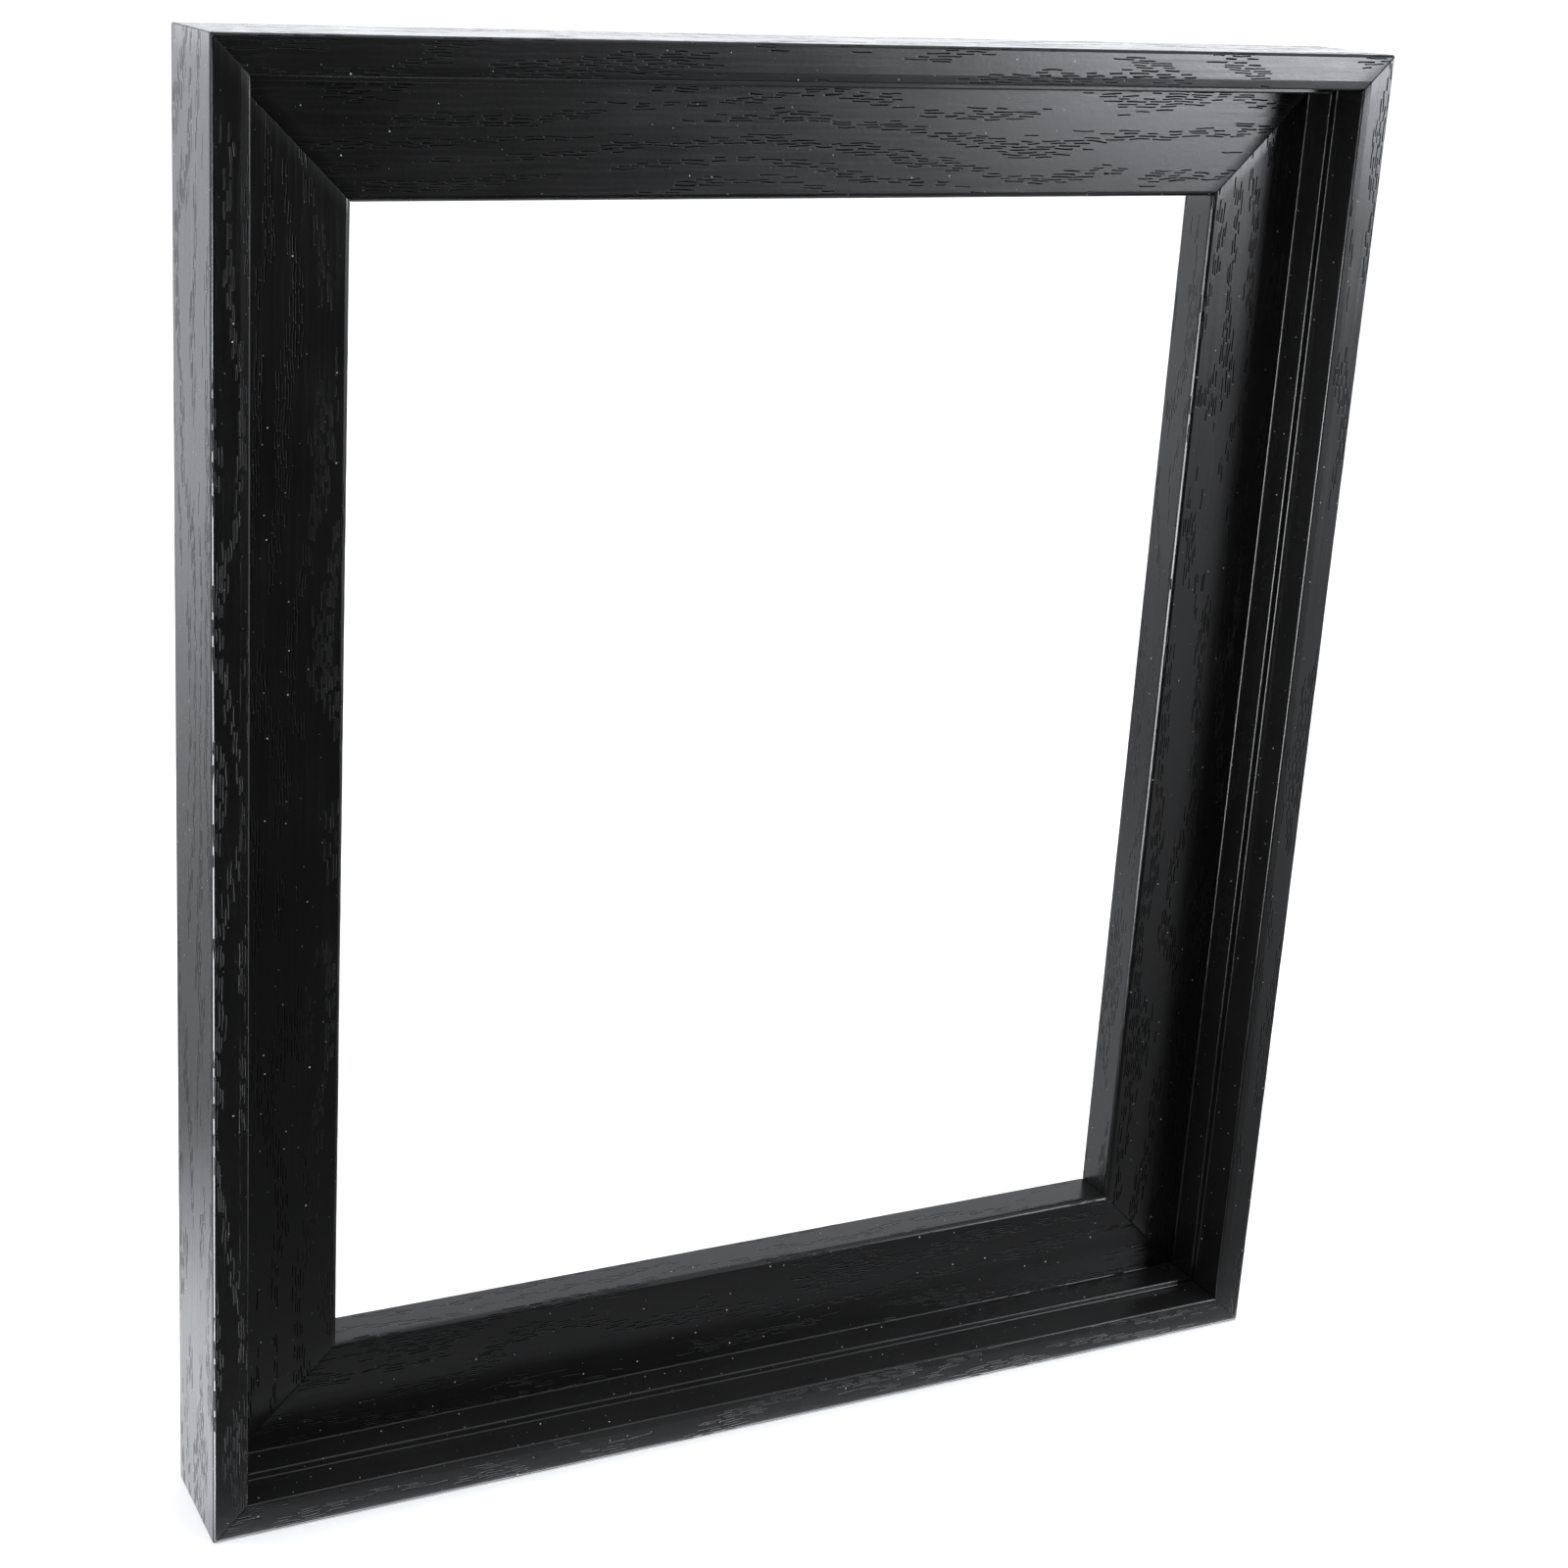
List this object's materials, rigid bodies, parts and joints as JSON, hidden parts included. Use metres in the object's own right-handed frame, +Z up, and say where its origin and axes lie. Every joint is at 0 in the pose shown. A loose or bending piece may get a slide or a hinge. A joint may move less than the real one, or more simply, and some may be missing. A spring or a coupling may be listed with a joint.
{
  "type": "shadow box frame",
  "caption": "Deep open-fronted shadow box frame in satin black oak-grain moulding, with a stepped recess, a flat ledge round an open window, and hanging rings on the back.",
  "frame": {"origin": "middle of the bottom face that the frame stands on: mid-width and mid-depth of the moulding", "axes": "-Y out of the open front, +Y towards the wall, +X to the right seen from the front, +Z up"},
  "size_m": [0.289, 0.0339, 0.3398],
  "materials": {
    "black_lacquer": "satin black lacquer over open oak grain",
    "nail_steel": "bright steel strip",
    "ring_steel": "nickel-plated wire",
    "zinc_plate": "zinc-plated steel",
    "bumper_rubber": "matt black rubber"
  },
  "bodies": {
    "frame": {"top_rail": "black_lacquer", "bottom_rail": "black_lacquer", "left_rail": "black_lacquer", "right_rail": "black_lacquer", "top_left_corner_nails": "nail_steel", "top_right_corner_nails": "nail_steel", "bottom_left_corner_nails": "nail_steel", "bottom_right_corner_nails": "nail_steel", "left_hanger_strap": "zinc_plate", "right_hanger_strap": "zinc_plate", "left_hanger_screw": "zinc_plate", "right_hanger_screw": "zinc_plate", "left_wall_bumper": "bumper_rubber", "right_wall_bumper": "bumper_rubber"},
    "left_ring": {"left_hanger_ring": "ring_steel"},
    "right_ring": {"right_hanger_ring": "ring_steel"}
  },
  "joints": [
    {"name": "left_ring_swing", "type": "hinge", "parent": "frame", "child": "left_ring", "pos_m": [-0.1245, 0.01681, 0.2448], "axis": [1, 0, 0], "range_deg": [0, 177]},
    {"name": "right_ring_swing", "type": "hinge", "parent": "frame", "child": "right_ring", "pos_m": [0.1245, 0.01681, 0.2448], "axis": [1, 0, 0], "range_deg": [0, 177]}
  ]
}
